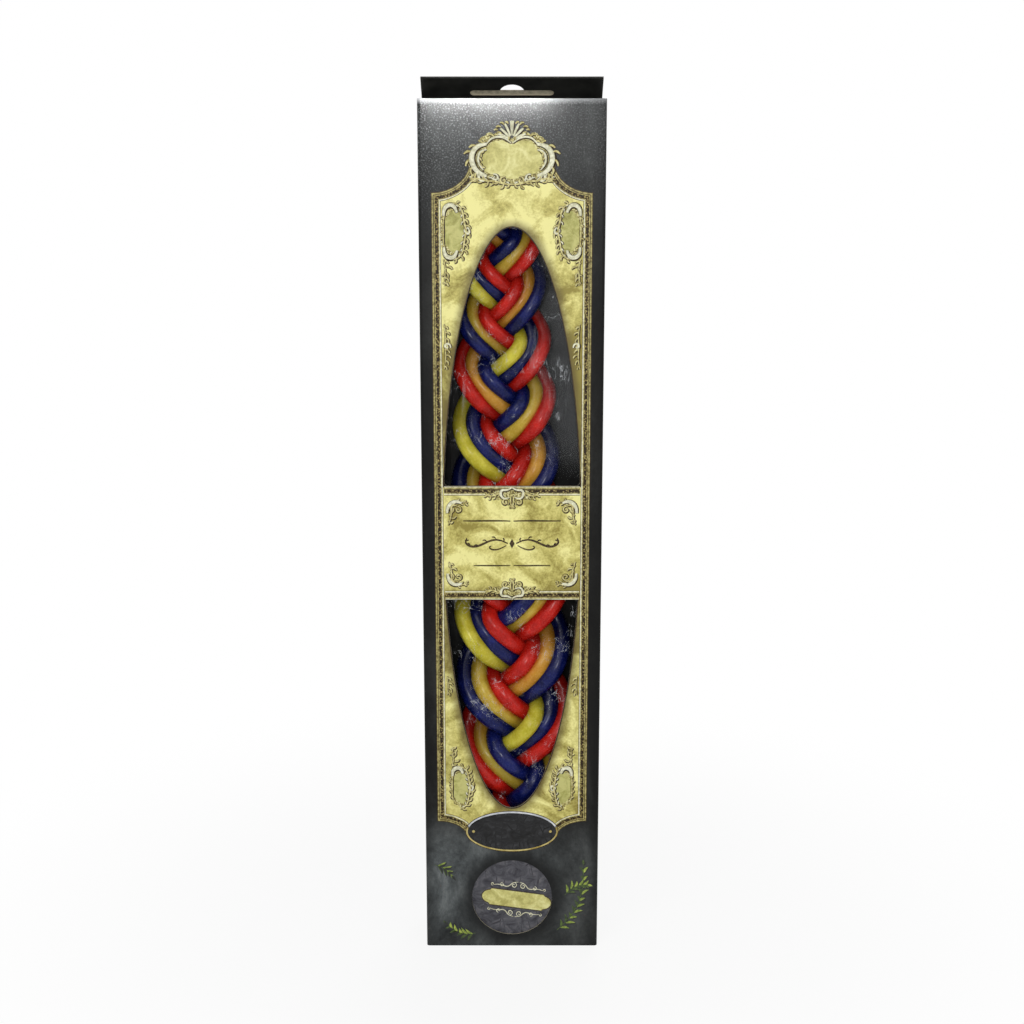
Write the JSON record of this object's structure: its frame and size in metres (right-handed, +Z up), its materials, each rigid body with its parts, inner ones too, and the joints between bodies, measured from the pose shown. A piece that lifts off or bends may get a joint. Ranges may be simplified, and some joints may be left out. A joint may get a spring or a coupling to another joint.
{
  "type": "boxed plaited candle",
  "caption": "Plaited multi-strand candle and round spice box in a tall windowed carton with a hinged tuck lid and a hang tab.",
  "frame": {"origin": "middle of the carton's base, on the surface it stands on", "axes": "+Z up along the candle, the window faces -Y, +X to the right seen from the front"},
  "size_m": [0.07, 0.03, 0.348],
  "materials": {
    "printed_board": "dark grey print under a satin varnish",
    "black_card": "black, crinkled",
    "clear_film": "clear glossy film",
    "cotton_wick": "waxed cotton",
    "spice_plastic": "pale glossy plastic",
    "spice_label": "dark grey printed label",
    "clove": "dry dark brown",
    "wax_red": "glossy dyed wax",
    "wax_amber": "glossy dyed wax",
    "wax_gold": "glossy dyed wax",
    "wax_yellow": "glossy dyed wax",
    "wax_blue": "glossy dyed wax"
  },
  "bodies": {
    "carton": {"front_panel": "printed_board", "back_panel": "printed_board", "left_side_panel": "printed_board", "right_side_panel": "printed_board", "glue_flap": "printed_board", "bottom_outer_flap": "printed_board", "bottom_inner_flap": "printed_board", "bottom_dust_left": "printed_board", "bottom_dust_right": "printed_board", "window_film": "clear_film", "backing_card": "black_card", "shelf_panel": "black_card", "shelf_leg_left": "black_card", "shelf_leg_right": "black_card"},
    "lid": {"lid_panel": "printed_board"},
    "tuck": {"tuck_flap": "printed_board"},
    "hang_tab": {"hang_tab_front": "printed_board", "hang_tab_rear": "printed_board"},
    "dust_left": {"dust_flap_left": "printed_board"},
    "dust_right": {"dust_flap_right": "printed_board"},
    "candle": {"strand_a_red": "wax_red", "strand_a_amber": "wax_amber", "strand_a_blue": "wax_blue", "strand_b_yellow": "wax_yellow", "strand_b_blue": "wax_blue", "strand_b_red": "wax_red", "strand_c_blue": "wax_blue", "strand_c_gold": "wax_gold", "strand_c_red": "wax_red", "wick_a_red": "cotton_wick", "wick_a_amber": "cotton_wick", "wick_a_blue": "cotton_wick", "wick_b_yellow": "cotton_wick", "wick_b_blue": "cotton_wick", "wick_b_red": "cotton_wick", "wick_c_blue": "cotton_wick", "wick_c_gold": "cotton_wick", "wick_c_red": "cotton_wick"},
    "spice_box": {"spice_cup": "spice_plastic", "spice_lid": "spice_plastic", "spice_label": "spice_label", "clove_buds": "clove"}
  },
  "joints": [
    {"name": "lid_hinge", "type": "hinge", "parent": "carton", "child": "lid", "pos_m": [0, 0.015, 0.3395], "axis": [-1, 0, 0], "range_deg": [0, 115]},
    {"name": "tuck_fold", "type": "hinge", "parent": "lid", "child": "tuck", "pos_m": [0, -0.01345, 0.3395], "axis": [1, 0, 0], "range_deg": [0, 70]},
    {"name": "hang_tab_fold", "type": "hinge", "parent": "lid", "child": "hang_tab", "pos_m": [0, 0.014, 0.34], "axis": [-1, 0, 0], "range_deg": [-10, 52]},
    {"name": "dust_left_fold", "type": "hinge", "parent": "carton", "child": "dust_left", "pos_m": [-0.035, 0, 0.339], "axis": [0, -1, 0], "range_deg": [0, 41]},
    {"name": "dust_right_fold", "type": "hinge", "parent": "carton", "child": "dust_right", "pos_m": [0.035, 0, 0.339], "axis": [0, 1, 0], "range_deg": [0, 41]},
    {"name": "candle_lift", "type": "slide", "parent": "carton", "child": "candle", "axis": [0, 0, 1], "range_m": [0, 0.012]},
    {"name": "spice_turn", "type": "hinge", "parent": "carton", "child": "spice_box", "pos_m": [0, 0, 0.0215], "axis": [0, 1, 0], "continuous": true}
  ],
  "couplings": [
    {"joint": "tuck_fold", "follows": "lid_hinge", "ratio": 0.6},
    {"joint": "dust_left_fold", "follows": "lid_hinge", "ratio": 0.35},
    {"joint": "dust_right_fold", "follows": "lid_hinge", "ratio": 0.35}
  ]
}
